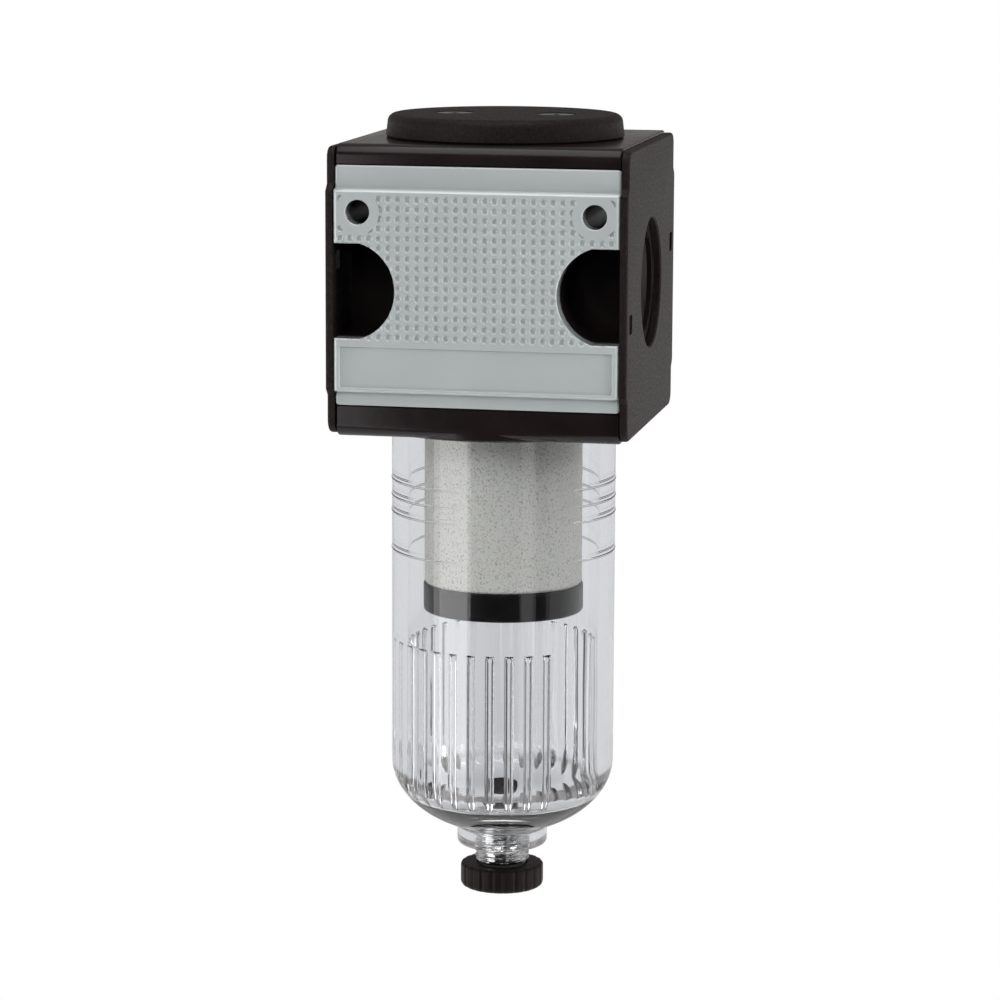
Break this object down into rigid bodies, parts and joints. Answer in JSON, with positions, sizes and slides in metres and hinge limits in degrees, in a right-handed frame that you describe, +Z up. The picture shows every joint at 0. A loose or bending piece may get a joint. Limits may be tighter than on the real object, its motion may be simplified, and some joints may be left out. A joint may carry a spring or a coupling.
{
  "type": "compressed air filter",
  "caption": "Modular compressed air filter: black ported block with grey covers, clear screw-on bowl, sintered element and a manual screw drain.",
  "frame": {"origin": "middle of the rear mounting face, level with the two ports", "axes": "+Z up along the bowl's axis, +Y out of the rear mounting face, the ports along X"},
  "size_m": [0.052, 0.0523, 0.1385],
  "materials": {
    "black_casting": "black satin paint on die-cast zinc",
    "black_textured": "black, fine sand texture",
    "black_cap": "black, fine sand texture",
    "grey_plastic": "light grey satin moulding",
    "black_rubber": "black nitrile rubber",
    "silicone": "translucent silicone",
    "black_plastic": "black satin moulding",
    "zinc_steel": "zinc-plated steel",
    "sintered_element": "off-white sintered granules",
    "clear_bowl": "clear moulded polycarbonate",
    "nickel_plate": "nickel-plated brass"
  },
  "bodies": {
    "block": {"housing": "black_casting", "end_plate_left": "black_textured", "end_plate_right": "black_textured", "front_cover": "grey_plastic", "rear_cover": "grey_plastic", "top_cap": "black_cap", "cap_o_ring": "black_rubber", "swirl_deflector": "black_plastic", "deflector_gasket": "black_rubber", "element_bolt": "zinc_steel", "element_top_seal": "black_rubber", "filter_element": "sintered_element", "element_bottom_seal": "black_rubber", "baffle": "black_plastic", "baffle_nut": "zinc_steel"},
    "bowl_seal": {"bowl_o_ring": "black_rubber"},
    "bowl_unit": {"bowl": "clear_bowl", "drain_body": "nickel_plate", "drain_o_ring": "silicone"},
    "drain_seal": {"drain_washer": "black_rubber"},
    "drain_screw": {"drain_stem": "black_plastic", "drain_knob": "black_plastic"}
  },
  "joints": [
    {"name": "bowl_lower", "type": "slide", "parent": "block", "child": "bowl_seal", "axis": [0, 0, -1], "range_m": [0, 0.006]},
    {"name": "bowl_turn", "type": "hinge", "parent": "bowl_seal", "child": "bowl_unit", "pos_m": [0, -0.02615, 0], "axis": [0, 0, -1], "range_deg": [0, 1440]},
    {"name": "drain_lower", "type": "slide", "parent": "bowl_unit", "child": "drain_seal", "axis": [0, 0, -1], "range_m": [0, 0.0015]},
    {"name": "drain_turn", "type": "hinge", "parent": "drain_seal", "child": "drain_screw", "pos_m": [0, -0.02615, -0.1], "axis": [0, 0, -1], "range_deg": [0, 540]}
  ],
  "couplings": [
    {"joint": "bowl_turn", "follows": "bowl_lower", "rad_per_m": 4188.8},
    {"joint": "drain_turn", "follows": "drain_lower", "rad_per_m": 6283.2}
  ]
}
